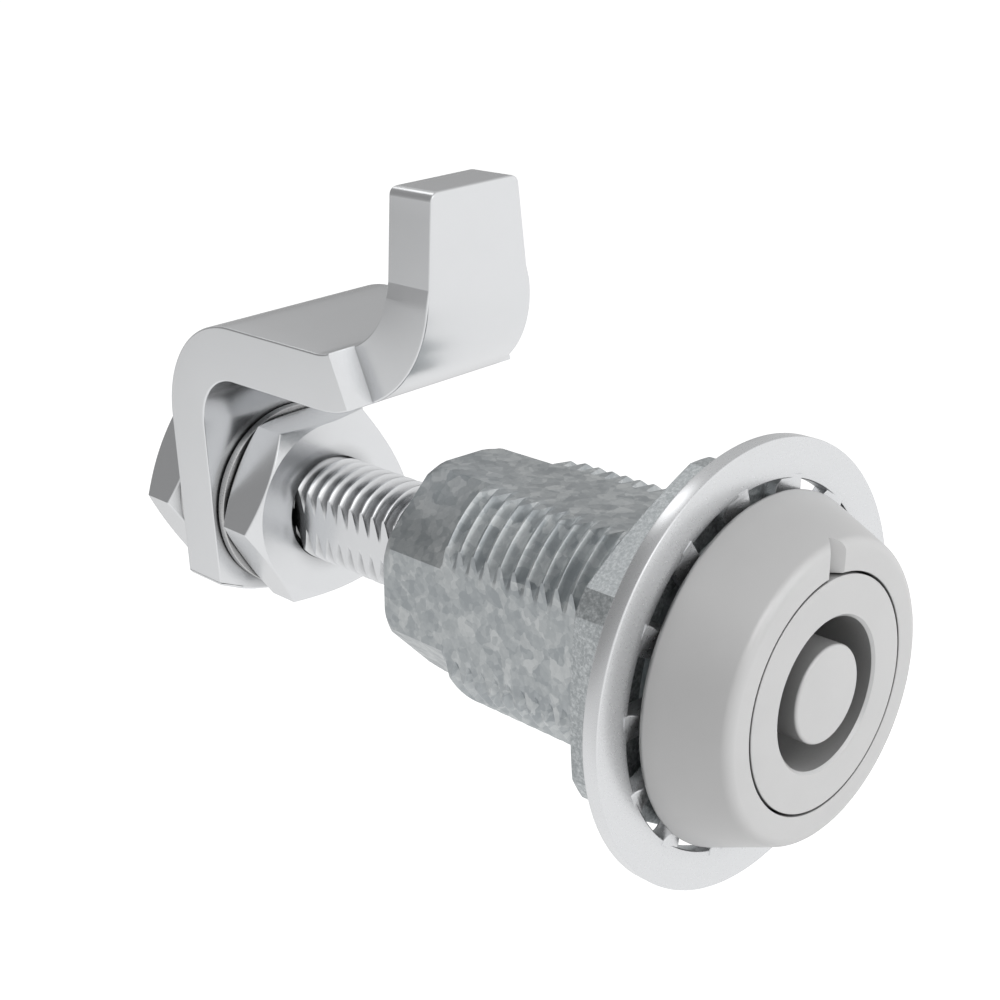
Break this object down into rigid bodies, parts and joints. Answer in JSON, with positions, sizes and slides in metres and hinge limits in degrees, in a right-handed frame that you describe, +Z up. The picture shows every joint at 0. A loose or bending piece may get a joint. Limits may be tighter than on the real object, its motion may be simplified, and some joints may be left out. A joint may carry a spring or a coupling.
{
  "type": "compression latch",
  "caption": "Quarter-turn compression latch: round keyed head, threaded body with nut and toothed washer, and a twice-bent adjustable pawl that turns and then draws inward.",
  "frame": {"origin": "on the latch's axis in the rear face of the head, where the panel seats", "axes": "+Y along the axis from the head to the pawl end, +Z up towards the pawl's tip, +X to the right seen from the front"},
  "size_m": [0.0354, 0.0767, 0.051],
  "materials": {
    "silver_cast": "smooth satin silver-grey coat on a die casting",
    "zinc_body": "dull zinc plating with a faint spangle",
    "nut_zinc": "fine speckled zinc plating",
    "washer_zinc": "satin zinc plating",
    "plated_steel": "smooth satin zinc plating",
    "lock_steel": "plated spring steel",
    "plain_steel": "bright steel",
    "spring_steel": "drawn spring wire",
    "dark_steel": "blackened spring steel",
    "bush_steel": "machined steel, slightly oily",
    "black_rubber": "smooth rubber",
    "white_plastic": "natural acetal"
  },
  "bodies": {
    "housing": {"head": "silver_cast", "body": "zinc_body", "head_pin": "plain_steel", "tooth_washer": "washer_zinc", "mounting_nut": "nut_zinc", "stop_pin": "plain_steel", "rear_ring": "dark_steel"},
    "guide": {"guide_bush": "bush_steel"},
    "core": {"core": "silver_cast", "core_oring": "black_rubber", "core_ring": "dark_steel", "thrust_washer": "white_plastic"},
    "shaft": {"shaft": "plated_steel", "cross_pin": "plain_steel", "spring_seat": "plain_steel", "return_spring": "spring_steel", "front_jam_nut": "plated_steel", "front_lock_washer": "lock_steel", "pawl": "plated_steel", "rear_lock_washer": "lock_steel", "rear_jam_nut": "plated_steel"}
  },
  "joints": [
    {"name": "swing", "type": "hinge", "parent": "housing", "child": "guide", "pos_m": [0, 0, 0], "axis": [0, 1, 0], "range_deg": [-90, 0]},
    {"name": "draw_turn", "type": "hinge", "parent": "guide", "child": "core", "pos_m": [0, 0, 0], "axis": [0, 1, 0], "range_deg": [0, 90]},
    {"name": "draw", "type": "slide", "parent": "guide", "child": "shaft", "axis": [0, -1, 0], "range_m": [0, 0.005], "deforming": ["return_spring"]}
  ],
  "couplings": [
    {"joint": "draw_turn", "follows": "draw", "rad_per_m": 314.1}
  ]
}
